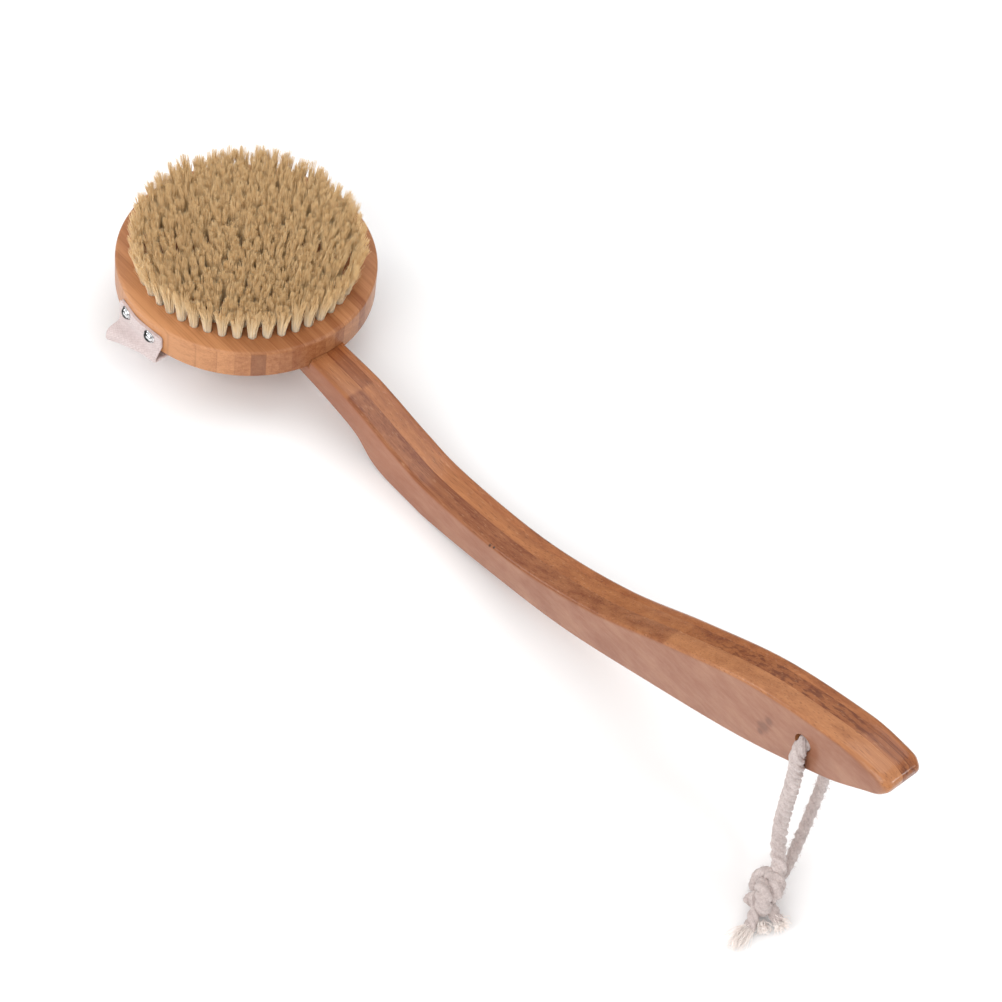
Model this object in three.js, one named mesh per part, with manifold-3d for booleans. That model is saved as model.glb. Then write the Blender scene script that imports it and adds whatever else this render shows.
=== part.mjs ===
// Long-handled body dry brush of laminated bamboo, in millimetres, +Z up.
//
// The brush lies on its back with the bristles up. The design frame has its origin at the middle
// of the head's bristle face, +X along the handle and +Z out of the bristles; the whole assembly
// is then lifted so that Z = 0 is the surface it rests on, and centred along X.

import * as THREE from "three";
import { mergeVertices } from "three/addons/utils/BufferGeometryUtils.js";
import Module from "manifold-3d";

const wasm = await Module();
wasm.setup();

// Head
const HEAD_RADIUS = 52.5;
const HEAD_THICKNESS = 13.7;
const HEAD_EDGE = 1.4;
const HEAD_SIDES = 72;

// Bristle tufts, in rings round the middle of the head
const RING_RADII = [43, 37, 31, 25, 19, 13, 7, 0];
const TUFT_PITCH = 5.85;
const TUFT_SIDES = 5;
const TUFT_HOLE_DEPTH = 7.8;
const TUFT_HOLE_RADIUS = 1.85;
const TUFT_ROOT_Z = -7.5;
const TUFT_ROOT_RADIUS = 1.25;
const TUFT_CROWN_Z = 10;
const TUFT_CROWN_RADIUS = 2;
const TIP_Z = 15;
const TIP_SPLAY = 1.035;
const TIP_HALF_WIDTH = 2.8;

// Handle: its side outline is a curve in X and Z, its width lies along Y
const HANDLE_WIDTH = 18.7;
const HANDLE_NECK_WIDTH = 17.4;
const HANDLE_EDGE = 1.4;
const HANDLE_CORNER = 5;
const HANDLE_TIP_X = 357;
const NECK_TOP_Z = -10.3;
const NECK_BOTTOM_Z = -21.2;
const REST_Z = -35;
const SLAT_LINES = [-0.8, 5];
const GLUE_LINE = 0.04;

// Sliding dovetail between the handle's tongue and the groove in the head's back
const GAP = 0.3;
const TONGUE_END_X = -8;
const GROOVE_DEPTH = 4;
const DOVETAIL_NECK = 12;
const DOVETAIL_WIDE = 16;

// Rope hole through the handle
const HOLE_X = 320;
const HOLE_Z = 38.2;
const HOLE_RADIUS = 3.5;

// Hand strap
const STRAP_WIDTH = 27.4;
const STRAP_THICKNESS = 1.3;
const STRAP_X = -0.9;
const STRAP_TOP_Z = -4;

// Dome-headed tacks, two at each end of the strap
const TACK_SPACING = 15.2;
const TACK_Z = -7.4;
const TACK_RADIUS = 2.9;
const TACK_RISE = 1.9;
const SHANK_RADIUS = 0.8;
const SHANK_LENGTH = 9;
const SHANK_HOLE_RADIUS = 1.1;

// Rope loop, its knot and its two frayed ends
const ROPE_RADIUS = 2.4;
const ROPE_SIDES = 10;
const ROPE_STEPS = 18;
const KNOT_CENTRE = new THREE.Vector3(334, -25.9, -27.3);
const KNOT_RADIUS = 7.5;
const ROPE_ENDS = [
  [new THREE.Vector3(337.3, -32.6, -31.5), new THREE.Vector3(341.3, -40.8, -32.4)],
  [new THREE.Vector3(341, -28, -31.3), new THREE.Vector3(345.6, -30.2, -32.4)],
];

function bamboo(colour) {
  return new THREE.MeshStandardMaterial({ color: colour, roughness: 0.42, metalness: 0 });
}

const headBamboo = bamboo(0xc48a64);
const lightBamboo = bamboo(0xc08a62);
const darkBamboo = bamboo(0xa5683f);
const brownBamboo = bamboo(0xb0724c);
const bristle = new THREE.MeshStandardMaterial({ color: 0xd6b98c, roughness: 0.85, metalness: 0 });
const canvas = new THREE.MeshStandardMaterial({ color: 0xe1d4d2, roughness: 0.9, metalness: 0 });
const chrome = new THREE.MeshStandardMaterial({ color: 0xd9dadc, roughness: 0.12, metalness: 1 });
const cotton = new THREE.MeshStandardMaterial({ color: 0xd0c4bc, roughness: 0.95, metalness: 0 });

// A closed three.js geometry as a solid that can be joined and cut.
function solidOf(geometry) {
  const bare = geometry.index ? geometry.toNonIndexed() : geometry.clone();
  bare.deleteAttribute("normal");
  bare.deleteAttribute("uv");
  const merged = mergeVertices(bare, 5e-3);
  const index = merged.index.array;
  const kept = [];
  for (let i = 0; i < index.length; i += 3) {
    const [a, b, c] = [index[i], index[i + 1], index[i + 2]];
    if (a !== b && b !== c && c !== a) {
      kept.push(a, b, c);
    }
  }
  const mesh = new wasm.Mesh({
    numProp: 3,
    vertProperties: new Float32Array(merged.attributes.position.array),
    triVerts: new Uint32Array(kept),
  });
  return new wasm.Manifold(mesh);
}

// A solid back as a geometry.
function geometryOf(solid) {
  const { vertProperties, triVerts } = solid.getMesh();
  const geometry = new THREE.BufferGeometry();
  geometry.setAttribute("position", new THREE.BufferAttribute(vertProperties, 3));
  geometry.setIndex(new THREE.BufferAttribute(triVerts, 1));
  geometry.computeVertexNormals();
  return geometry;
}

function meshOf(name, geometry, material) {
  const mesh = new THREE.Mesh(geometry, material);
  mesh.name = name;
  return mesh;
}

function boxSolid(low, high) {
  const size = new THREE.Vector3().subVectors(high, low);
  const middle = new THREE.Vector3().addVectors(low, high).multiplyScalar(0.5);
  const box = new THREE.BoxGeometry(size.x, size.y, size.z);
  box.translate(middle.x, middle.y, middle.z);
  return solidOf(box);
}

// An upright cylinder or cone between two heights.
function uprightSolid(radiusLow, radiusHigh, lowZ, highZ, sides) {
  const cylinder = new THREE.CylinderGeometry(radiusHigh, radiusLow, highZ - lowZ, sides);
  cylinder.rotateX(Math.PI / 2);
  cylinder.translate(0, 0, (lowZ + highZ) / 2);
  return solidOf(cylinder);
}

// A cylinder along Y between two places.
function crossSolid(radius, x, lowY, highY, z, sides) {
  const cylinder = new THREE.CylinderGeometry(radius, radius, highY - lowY, sides);
  cylinder.translate(x, (lowY + highY) / 2, z);
  return solidOf(cylinder);
}

// The points of an outline, without any that all but coincide with the one before.
function outlinePoints(outline, curveSteps) {
  const points = outline.getPoints(curveSteps);
  return points.filter((point, i) => point.distanceTo(points.at(i - 1)) > 0.4);
}

// Turns an outline drawn in (X, Z) into a body of the given width, centred on Y = 0.
function extrudeAcross(outline, width, edge, curveSteps) {
  const geometry = new THREE.ExtrudeGeometry(new THREE.Shape(outlinePoints(outline, curveSteps)), {
    depth: width - 2 * edge,
    bevelEnabled: true,
    bevelThickness: edge,
    bevelSize: edge,
    bevelOffset: -edge,
    bevelSegments: 2,
  });
  geometry.rotateX(Math.PI / 2);
  geometry.translate(0, width / 2 - edge, 0);
  return solidOf(geometry);
}

// The dovetail's section in (Y, Z), run along X from the blind end out past the rim.
function dovetailSolid(clearance, endX, farX, lowZ, highZ) {
  const neck = DOVETAIL_NECK / 2 + clearance;
  const wide = DOVETAIL_WIDE / 2 + clearance;
  const outline = new THREE.Shape([
    new THREE.Vector2(-neck, lowZ),
    new THREE.Vector2(neck, lowZ),
    new THREE.Vector2(wide, highZ),
    new THREE.Vector2(-wide, highZ),
  ]);
  const geometry = new THREE.ExtrudeGeometry(outline, { depth: farX - endX, bevelEnabled: false });
  geometry.rotateX(Math.PI / 2);
  geometry.rotateZ(Math.PI / 2);
  geometry.translate(endX, 0, 0);
  return solidOf(geometry);
}

function tuftPlaces(radius) {
  const count = Math.max(1, Math.round((2 * Math.PI * radius) / TUFT_PITCH));
  return Array.from({ length: count }, (_, i) => {
    const angle = (2 * Math.PI * (i + 0.5)) / count;
    return new THREE.Vector2(radius * Math.cos(angle), radius * Math.sin(angle));
  });
}

function tackPlaces() {
  const xs = [STRAP_X - TACK_SPACING / 2, STRAP_X + TACK_SPACING / 2];
  return [-1, 1].flatMap((side) => xs.map((x) => ({ side, x })));
}

// The disc with its eased edges, tuft holes, tack holes and the groove for the handle.
function headSolid() {
  const disc = new THREE.LatheGeometry(
    [
      new THREE.Vector2(0, -HEAD_THICKNESS),
      new THREE.Vector2(HEAD_RADIUS - HEAD_EDGE, -HEAD_THICKNESS),
      new THREE.Vector2(HEAD_RADIUS, HEAD_EDGE - HEAD_THICKNESS),
      new THREE.Vector2(HEAD_RADIUS, -HEAD_EDGE),
      new THREE.Vector2(HEAD_RADIUS - HEAD_EDGE, 0),
      new THREE.Vector2(0, 0),
    ],
    HEAD_SIDES,
  );
  disc.rotateX(Math.PI / 2);
  let head = solidOf(disc);
  for (const radius of RING_RADII) {
    for (const place of tuftPlaces(radius)) {
      const hole = uprightSolid(TUFT_HOLE_RADIUS, TUFT_HOLE_RADIUS, -TUFT_HOLE_DEPTH, 1, TUFT_SIDES);
      head = head.subtract(hole.translate(place.x, place.y, 0));
    }
  }
  for (const { side, x } of tackPlaces()) {
    const inner = side * (HEAD_RADIUS - SHANK_LENGTH);
    const outer = side * (HEAD_RADIUS + 1);
    const [low, high] = [Math.min(inner, outer), Math.max(inner, outer)];
    head = head.subtract(crossSolid(SHANK_HOLE_RADIUS, x, low, high, TACK_Z, 8));
  }
  const top = GROOVE_DEPTH - HEAD_THICKNESS;
  const groove = dovetailSolid(GAP, TONGUE_END_X - GAP, HEAD_RADIUS + 1, -HEAD_THICKNESS, top);
  const mouth = boxSolid(
    new THREE.Vector3(TONGUE_END_X - GAP, -DOVETAIL_NECK / 2 - GAP, -HEAD_THICKNESS - 1),
    new THREE.Vector3(HEAD_RADIUS + 1, DOVETAIL_NECK / 2 + GAP, top - 1),
  );
  return head.subtract(groove).subtract(mouth);
}

// One ring of tufts: separate roots in their holes, spreading into one another at the tips.
function bristleRingSolid(radius) {
  const middle = radius * TIP_SPLAY;
  const inner = Math.max(0, middle - TIP_HALF_WIDTH);
  const outer = middle + TIP_HALF_WIDTH;
  const places = tuftPlaces(radius);
  const profile = [
    new THREE.Vector2(inner, TUFT_CROWN_Z - 0.5),
    new THREE.Vector2(outer, TUFT_CROWN_Z - 0.5),
    new THREE.Vector2(outer, TIP_Z),
    new THREE.Vector2(inner, TIP_Z),
  ];
  if (inner > 0) {
    profile.push(profile[0].clone());
  }
  const crown = new THREE.LatheGeometry(profile, Math.max(12, places.length));
  crown.rotateX(Math.PI / 2);
  let ring = solidOf(crown);
  for (const place of places) {
    const leg = uprightSolid(TUFT_ROOT_RADIUS, TUFT_CROWN_RADIUS, TUFT_ROOT_Z, TUFT_CROWN_Z, TUFT_SIDES);
    ring = ring.add(leg.translate(place.x, place.y, 0));
  }
  return ring;
}

// The handle's side outline in (X, Z), from the tongue along the underside to the tip and back.
function handleOutline() {
  const point = (x, z) => new THREE.Vector2(x, z);
  const outline = new THREE.Shape();
  outline.moveTo(TONGUE_END_X, NECK_TOP_Z);
  outline.lineTo(TONGUE_END_X, NECK_BOTTOM_Z + 3);
  outline.lineTo(TONGUE_END_X + 3, NECK_BOTTOM_Z);
  outline.lineTo(44, NECK_BOTTOM_Z);
  outline.splineThru([point(66, -23.4), point(83, -26.8), point(93, -33.2), point(102, REST_Z)]);
  outline.lineTo(126, REST_Z);
  outline.splineThru([
    point(159, -30.2),
    point(204, -21.1),
    point(251, -5.2),
    point(295, 11.6),
    point(331, 30),
    point(349, 42),
  ]);
  outline.quadraticCurveTo(HANDLE_TIP_X, 47.4, HANDLE_TIP_X, 50.6);
  outline.quadraticCurveTo(HANDLE_TIP_X, 54.6, 348, 54.8);
  outline.splineThru([
    point(330, 53),
    point(293, 42.4),
    point(256, 24.2),
    point(217, 3.2),
    point(174, -11.6),
    point(128, -17.6),
    point(104, -15.6),
    point(84, -12),
    point(70, NECK_TOP_Z),
  ]);
  outline.lineTo(TONGUE_END_X, NECK_TOP_Z);
  return outline;
}

// The handle's outline from above, in (X, Y): a slightly narrower neck and a blunt, rounded tip.
function handlePlan() {
  const neck = HANDLE_NECK_WIDTH / 2;
  const half = HANDLE_WIDTH / 2;
  const plan = new THREE.Shape();
  plan.moveTo(TONGUE_END_X - 1, -neck);
  plan.lineTo(60, -neck);
  plan.lineTo(125, -half);
  plan.lineTo(HANDLE_TIP_X - HANDLE_CORNER, -half);
  plan.absarc(HANDLE_TIP_X - HANDLE_CORNER, HANDLE_CORNER - half, HANDLE_CORNER, -Math.PI / 2, 0);
  plan.absarc(HANDLE_TIP_X - HANDLE_CORNER, half - HANDLE_CORNER, HANDLE_CORNER, 0, Math.PI / 2);
  plan.lineTo(125, half);
  plan.lineTo(60, neck);
  plan.lineTo(TONGUE_END_X - 1, neck);
  return plan;
}

// The whole handle in one piece: curved grip, tongue under the head, dovetail key and rope hole.
function handleSolid() {
  const grip = extrudeAcross(handleOutline(), HANDLE_WIDTH, HANDLE_EDGE, 2);
  const planDepth = { depth: 120, bevelEnabled: false, curveSegments: 4 };
  const plan = new THREE.ExtrudeGeometry(handlePlan(), planDepth);
  plan.translate(0, 0, -50);
  const rim = uprightSolid(HEAD_RADIUS + GAP, HEAD_RADIUS + GAP, -HEAD_THICKNESS - GAP, 5, HEAD_SIDES);
  const keyTop = GROOVE_DEPTH - HEAD_THICKNESS - GAP;
  const keyFoot = -HEAD_THICKNESS - GAP - 1;
  const key = dovetailSolid(0, TONGUE_END_X, HEAD_RADIUS + 3, -HEAD_THICKNESS, keyTop);
  const root = boxSolid(
    new THREE.Vector3(TONGUE_END_X, -DOVETAIL_NECK / 2, keyFoot),
    new THREE.Vector3(HEAD_RADIUS + 3, DOVETAIL_NECK / 2, keyTop - 1),
  );
  const hole = crossSolid(HOLE_RADIUS, HOLE_X, -HANDLE_WIDTH, HANDLE_WIDTH, HOLE_Z, 16);
  return grip.intersect(solidOf(plan)).subtract(rim).add(key).add(root).subtract(hole);
}

// The part of the handle between two glue lines.
function slatSolid(handle, lowY, highY) {
  const slab = boxSolid(new THREE.Vector3(-100, lowY, -100), new THREE.Vector3(500, highY, 100));
  return handle.intersect(slab);
}

// The strap's middle line in (Y, Z), from the rim on one side, under the head, to the other rim.
function strapLine() {
  const side = HEAD_RADIUS + GAP + STRAP_THICKNESS / 2;
  const low = REST_Z + STRAP_THICKNESS / 2;
  const half = [
    [side, STRAP_TOP_Z],
    [side, -8],
    [side, -12],
    [side + 1.6, -15.5],
    [side + 2.9, -19],
    [side + 1.6, -21.6],
    [side - 4, -23.8],
    [38, -27.4],
    [24, -31],
    [12, -33.4],
    [4, low],
  ];
  const points = half.map(([y, z]) => new THREE.Vector2(y, z));
  const mirrored = half.map(([y, z]) => new THREE.Vector2(-y, z)).reverse();
  return points.concat(mirrored);
}

// A band of even thickness along a line drawn in (Y, Z), extruded along X.
function bandSolid(line, thickness, lowX, width) {
  const left = [];
  const right = [];
  line.forEach((point, i) => {
    const before = line[Math.max(0, i - 1)];
    const after = line[Math.min(line.length - 1, i + 1)];
    const along = new THREE.Vector2().subVectors(after, before).normalize();
    const across = new THREE.Vector2(-along.y, along.x).multiplyScalar(thickness / 2);
    left.push(point.clone().add(across));
    right.push(point.clone().sub(across));
  });
  const outline = new THREE.Shape(left.concat(right.reverse()));
  const geometry = new THREE.ExtrudeGeometry(outline, { depth: width, bevelEnabled: false });
  geometry.rotateX(Math.PI / 2);
  geometry.rotateZ(Math.PI / 2);
  geometry.translate(lowX, 0, 0);
  return solidOf(geometry);
}

function strapSolid() {
  const strap = bandSolid(strapLine(), STRAP_THICKNESS, STRAP_X - STRAP_WIDTH / 2, STRAP_WIDTH);
  return tackPlaces().reduce((cut, { side, x }) => {
    const [low, high] = side < 0 ? [-70, -45] : [45, 70];
    return cut.subtract(crossSolid(SHANK_HOLE_RADIUS, x, low, high, TACK_Z, 8));
  }, strap);
}

function tackGeometry() {
  return new THREE.LatheGeometry(
    [
      new THREE.Vector2(0, -SHANK_LENGTH),
      new THREE.Vector2(SHANK_RADIUS, 1.5 - SHANK_LENGTH),
      new THREE.Vector2(SHANK_RADIUS, 0),
      new THREE.Vector2(TACK_RADIUS, 0),
      new THREE.Vector2(TACK_RADIUS * 0.92, TACK_RISE * 0.4),
      new THREE.Vector2(TACK_RADIUS * 0.6, TACK_RISE * 0.82),
      new THREE.Vector2(0, TACK_RISE),
    ],
    12,
  );
}

// A tube of the given radius along points chosen by hand.
function tubeGeometry(points, radius, steps) {
  const curve = new THREE.CatmullRomCurve3(points.map((p) => new THREE.Vector3(...p)));
  const section = new THREE.Shape();
  section.absarc(0, 0, radius, 0, 2 * Math.PI);
  return new THREE.ExtrudeGeometry(section, {
    steps,
    extrudePath: curve,
    bevelEnabled: false,
    curveSegments: ROPE_SIDES / 2,
  });
}

// A straight rod between two places.
function rodMesh(name, from, to, radius, material) {
  const rod = new THREE.CylinderGeometry(radius, radius, from.distanceTo(to), ROPE_SIDES);
  const mesh = meshOf(name, rod, material);
  mesh.position.addVectors(from, to).multiplyScalar(0.5);
  const along = new THREE.Vector3().subVectors(to, from).normalize();
  mesh.quaternion.setFromUnitVectors(new THREE.Vector3(0, 1, 0), along);
  return mesh;
}

// The rope's two strands leave the hole on either side and come together at the knot.
const NEAR_STRAND = [
  [HOLE_X, -0.15, HOLE_Z],
  [HOLE_X + 0.1, -5, HOLE_Z],
  [HOLE_X + 0.3, -8.7, HOLE_Z],
  [HOLE_X + 0.8, -11.2, HOLE_Z - 1.2],
  [HOLE_X + 1.6, -12.5, HOLE_Z - 4.2],
  [HOLE_X + 2.5, -12.6, HOLE_Z - 9],
  [HOLE_X + 3, -12.5, HOLE_Z - 19],
  [HOLE_X + 2.9, -12.3, HOLE_Z - 31],
  [HOLE_X + 3.3, -12.4, HOLE_Z - 42],
  [HOLE_X + 5.2, -13.6, HOLE_Z - 50.5],
  [HOLE_X + 8.6, -16, HOLE_Z - 55.2],
  [HOLE_X + 11.6, -18.4, HOLE_Z - 56.8],
  [HOLE_X + 13.4, -21, HOLE_Z - 59],
];
const FAR_STRAND = [
  [HOLE_X, 0.15, HOLE_Z],
  [HOLE_X, 5, HOLE_Z],
  [HOLE_X, 8.6, HOLE_Z - 0.1],
  [HOLE_X, 11, HOLE_Z - 1.4],
  [HOLE_X, 12.3, HOLE_Z - 4.2],
  [HOLE_X, 12.6, HOLE_Z - 9],
  [HOLE_X, 12.4, HOLE_Z - 22],
  [HOLE_X, 12.1, HOLE_Z - 38],
  [HOLE_X + 0.8, 10.2, HOLE_Z - 49],
  [HOLE_X + 3.2, 4.6, HOLE_Z - 57.5],
  [HOLE_X + 7, -3.6, HOLE_Z - 62.5],
  [HOLE_X + 10.4, -11.6, HOLE_Z - 64.4],
  [HOLE_X + 12.2, -17.6, HOLE_Z - 65],
];

function buildBrush() {
  const brush = new THREE.Group();
  brush.add(meshOf("head_block", geometryOf(headSolid()), headBamboo));
  RING_RADII.forEach((radius, i) => {
    brush.add(meshOf(`bristle_ring_${i + 1}`, geometryOf(bristleRingSolid(radius)), bristle));
  });

  const handle = handleSolid();
  const edges = [-HANDLE_WIDTH, ...SLAT_LINES, HANDLE_WIDTH];
  const slats = [
    ["handle_slat_near", darkBamboo],
    ["handle_slat_middle", lightBamboo],
    ["handle_slat_far", brownBamboo],
  ];
  slats.forEach(([name, material], i) => {
    const slat = slatSolid(handle, edges[i] + GLUE_LINE / 2, edges[i + 1] - GLUE_LINE / 2);
    brush.add(meshOf(name, geometryOf(slat), material));
  });

  brush.add(meshOf("hand_strap", geometryOf(strapSolid()), canvas));
  const seat = HEAD_RADIUS + GAP + STRAP_THICKNESS + 0.05;
  tackPlaces().forEach(({ side, x }, i) => {
    const tack = meshOf(`strap_tack_${i + 1}`, tackGeometry(), chrome);
    tack.position.set(x, side * seat, TACK_Z);
    tack.rotation.z = side < 0 ? Math.PI : 0;
    brush.add(tack);
  });

  brush.add(meshOf("rope_strand_near", tubeGeometry(NEAR_STRAND, ROPE_RADIUS, ROPE_STEPS), cotton));
  brush.add(meshOf("rope_strand_far", tubeGeometry(FAR_STRAND, ROPE_RADIUS, ROPE_STEPS), cotton));
  const knot = new THREE.SphereGeometry(KNOT_RADIUS, 14, 9);
  const knotMesh = meshOf("rope_knot", knot, cotton);
  knotMesh.position.copy(KNOT_CENTRE);
  brush.add(knotMesh);
  ROPE_ENDS.forEach(([from, to], i) => {
    brush.add(rodMesh(`rope_end_${i + 1}`, from, to, ROPE_RADIUS, cotton));
  });
  return brush;
}

const brush = buildBrush();
brush.position.set((HEAD_RADIUS - HANDLE_TIP_X) / 2, 0, -REST_Z);
export default brush;
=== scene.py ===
"""A long-handled body dry brush: bamboo head and handle, bristle tufts, canvas strap and rope.

Shapes are drawn in the design frame in millimetres: the origin is the middle of the head's
bristle face, +X runs along the handle and +Z out of the bristles.
"""

import math

import bpy
import numpy as np
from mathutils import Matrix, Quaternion, Vector


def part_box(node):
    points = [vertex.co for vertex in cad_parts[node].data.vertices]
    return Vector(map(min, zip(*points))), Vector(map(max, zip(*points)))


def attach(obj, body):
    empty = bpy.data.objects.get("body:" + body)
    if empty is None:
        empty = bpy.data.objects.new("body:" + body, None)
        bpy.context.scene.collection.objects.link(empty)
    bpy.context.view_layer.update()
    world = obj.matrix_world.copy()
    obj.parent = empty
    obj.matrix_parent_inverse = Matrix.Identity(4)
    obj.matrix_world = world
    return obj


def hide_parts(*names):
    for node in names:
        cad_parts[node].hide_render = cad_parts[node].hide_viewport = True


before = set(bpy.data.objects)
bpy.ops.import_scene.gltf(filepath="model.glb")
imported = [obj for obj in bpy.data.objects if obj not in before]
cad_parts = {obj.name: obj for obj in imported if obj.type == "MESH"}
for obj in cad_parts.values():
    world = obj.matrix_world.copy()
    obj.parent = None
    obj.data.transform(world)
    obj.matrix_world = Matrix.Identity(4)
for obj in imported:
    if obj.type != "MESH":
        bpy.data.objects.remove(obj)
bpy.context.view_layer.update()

MM = 0.001
HEAD_LOW, HEAD_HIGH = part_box("head_block")
ORIGIN = np.array([(HEAD_LOW.x + HEAD_HIGH.x) / 2, (HEAD_LOW.y + HEAD_HIGH.y) / 2, HEAD_HIGH.z])
RANDOM = np.random.default_rng(12)

# Camera
CAMERA_PLACE = (486.6, -535.7, 911.4)
CAMERA_AIM = (-15.4, 21.3, 0)
CAMERA_ROLL = 9.1
CAMERA_LENS = 107.8

# Rope: its radius on average, then of each stretch. A lobe of the twist stands out by
# ROPE_BULGE times the radius. The strands run from the middle of the hole to the knot.
HOLE_X = 320
HOLE_Z = 38.2
HOLE_RADIUS = 3.5
ROPE_RADIUS = 2.4
NEAR_RADIUS = 2.85
FAR_RADIUS = 2.25
KNOT_ROPE_RADIUS = 3.05
TAIL_RADIUS = 2.3
ROPE_BULGE = 1.12
ROPE_LAY = 10.5
YARN_LAY = 2.6
ROPE_SIDES = 72
NEAR_STRAND = [
    (HOLE_X, -0.15, HOLE_Z),
    (HOLE_X + 0.1, -5, HOLE_Z),
    (HOLE_X + 0.3, -8.7, HOLE_Z),
    (HOLE_X + 0.8, -11.2, HOLE_Z - 1.2),
    (HOLE_X + 1.6, -12.5, HOLE_Z - 4.2),
    (HOLE_X + 2.5, -12.6, HOLE_Z - 9),
    (HOLE_X + 3, -12.5, HOLE_Z - 19),
    (HOLE_X + 2.9, -12.3, HOLE_Z - 31),
    (HOLE_X + 3.3, -12.4, HOLE_Z - 42),
    (HOLE_X + 5.2, -13.6, HOLE_Z - 50.5),
    (HOLE_X + 8.6, -16, HOLE_Z - 55.2),
    (HOLE_X + 11.6, -18.4, HOLE_Z - 56.8),
    (HOLE_X + 13.4, -21, HOLE_Z - 59),
]
FAR_STRAND = [
    (HOLE_X, 0.15, HOLE_Z),
    (HOLE_X, 5, HOLE_Z),
    (HOLE_X, 8.6, HOLE_Z - 0.1),
    (HOLE_X, 11, HOLE_Z - 1.4),
    (HOLE_X, 12.3, HOLE_Z - 4.2),
    (HOLE_X, 12.6, HOLE_Z - 9),
    (HOLE_X, 12.4, HOLE_Z - 22),
    (HOLE_X, 12.1, HOLE_Z - 38),
    (HOLE_X + 0.8, 10.2, HOLE_Z - 49),
    (HOLE_X + 3.2, 4.6, HOLE_Z - 57.5),
    (HOLE_X + 7, -3.6, HOLE_Z - 62.5),
    (HOLE_X + 10.4, -11.6, HOLE_Z - 64.4),
    (HOLE_X + 12.2, -17.6, HOLE_Z - 65),
]

# Knot: the way its ends run, its size per rope radius along, across and deep, and the part of
# its line that is shown, measured along the same way
KNOT_CENTRE = np.array([332.6, -24.8, -26.8])
KNOT_WAY = (0.3, -0.62, -0.3)
KNOT_SIZE = 2.6
KNOT_SHARES = (0.8, 1.5, 0.9)
KNOT_SHOWN = (-3.4, 3.3)

# The two ends below the knot, and their frays as (start, way, length, width, fibres)
TAIL_LINES = [
    [KNOT_CENTRE, (335.2, -30.6, -29.2), (337.4, -34.6, -31.4), (338.8, -37.4, -32)],
    [KNOT_CENTRE, (338.2, -26, -29.4), (341.4, -26.4, -31.4), (343.8, -26.6, -31.8)],
]
FRAYS = [
    ((338.6, -37, -31.9), (1.6, -10, -0.5), 10.5, 1.3, 220),
    ((343.4, -26.6, -31.8), (4.6, -1, -0.4), 2.8, 1.5, 150),
    ((340.6, -32, -32), (5.5, -5.5, -0.4), 3.4, 1.2, 110),
]
FRAY_RADII = (0.17, 0.08)
FUZZ_RADII = (0.06, 0.03)
FUZZ_COUNT = 700

# Head
HEAD_RADIUS = 52.5
HEAD_THICKNESS = 13.7
HEAD_ROUNDING = 1.2
HEAD_SIDES = 240
RING_RADII = [43, 37, 31, 25, 19, 13, 7, 0]
TUFT_PITCH = 5.85
TUFT_HOLE_RADIUS = 1.85
TUFT_HOLE_DEPTH = 7.8
SMALL_HOLE_SIDES = 14

# Bristles
TUFT_HAIRS = 212
TUFT_ROOT_RADIUS = 1.25
TUFT_ROOT_Z = -5
TUFT_TIP_RADIUS = 3.9
TUFT_CLUMPS = 8
TIP_HEIGHT = 15
TIP_SPLAY = 1.045
HAIR_RADIUS = 0.127
HAIR_STEPS = 3
HAIR_SIDES = 3

# Handle: each side of the tip comes in by TIP_NARROWING over its last TIP_TAPER
HANDLE_WIDTH = 18.7
NECK_WIDTH = 17.4
HANDLE_TIP_X = 357
HANDLE_ROUNDING = 1.8
TIP_NARROWING = 3.8
TIP_TAPER = 5
TIP_LENGTH = 11
HOLE_FLARE = 5
NECK_TOP_Z = -10.3
NECK_BOTTOM_Z = -21.2
REST_Z = -35
SLAT_LINES = (-0.8, 5)
TONGUE_END_X = -8
SHOULDER_RADIUS = HEAD_RADIUS + 0.3
TONGUE_TOP_Z = -14

# Sliding dovetail
GAP = 0.3
GROOVE_DEPTH = 4
DOVETAIL_NECK = 12
DOVETAIL_WIDE = 16

# Hand strap
STRAP_X = -0.9
STRAP_WIDTH = 27.4
STRAP_THICKNESS = 1.2
STRAP_SEAT = HEAD_RADIUS + 0.15 + STRAP_THICKNESS / 2
TACK_SPACING = 15.2
TACK_XS = (STRAP_X - TACK_SPACING / 2, STRAP_X + TACK_SPACING / 2)
TACK_Z = -7.4
TACK_RADIUS = 2.9
TACK_SIDES = 48
DOME_RADIUS = 2.35
DOME_HEIGHT = 1.45
SHANK_RADIUS = 0.8
SHANK_LENGTH = 7.5
SHANK_HOLE_RADIUS = 0.9
SHANK_HOLE_DEPTH = 8

# The strap's top edge, then its bulge and fold under the head as (Y, Z), at its left and right
# edges, then the far side's, which is the same all across
STRAP_TOP_LEFT = -4.9
STRAP_TOP_RISE = 0.7
LEFT_FOLD = [(-51.6, -14.4), (-52.6, -17.4), (-57, -19), (-58.3, -21), (-57.2, -24.8), (-44, -28.4)]
RIGHT_FOLD = [(-53.4, -12.2), (-54.2, -13.8), (-54.8, -15.3), (-53.8, -16.4), (-50.6, -15.9), (-42, -18)]
FAR_FOLD = [(54.4, -14.2), (56, -17.2), (56.6, -19.6), (55, -21.6), (49.6, -23.8), (40, -26.8)]
STRAP_MIDDLE = [(-26, -29.2), (-12, -33.4), (0, -34.25), (12, -33.4), (25, -30.6)]
STRAP_CORNER = 2


def placed(points):
    """Design-frame millimetres as row-frame metres."""
    return np.asarray(points, float) * MM + ORIGIN


def mesh_piece(name, points, faces, material, sharp=35):
    """A new object from design-frame points, smooth but for edges sharper than the angle."""
    mesh = bpy.data.meshes.new(name)
    mesh.from_pydata(placed(points).tolist(), [], faces)
    mesh.materials.append(material)
    piece = bpy.data.objects.new(name, mesh)
    bpy.context.scene.collection.objects.link(piece)
    shade(piece, sharp)
    return piece


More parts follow.
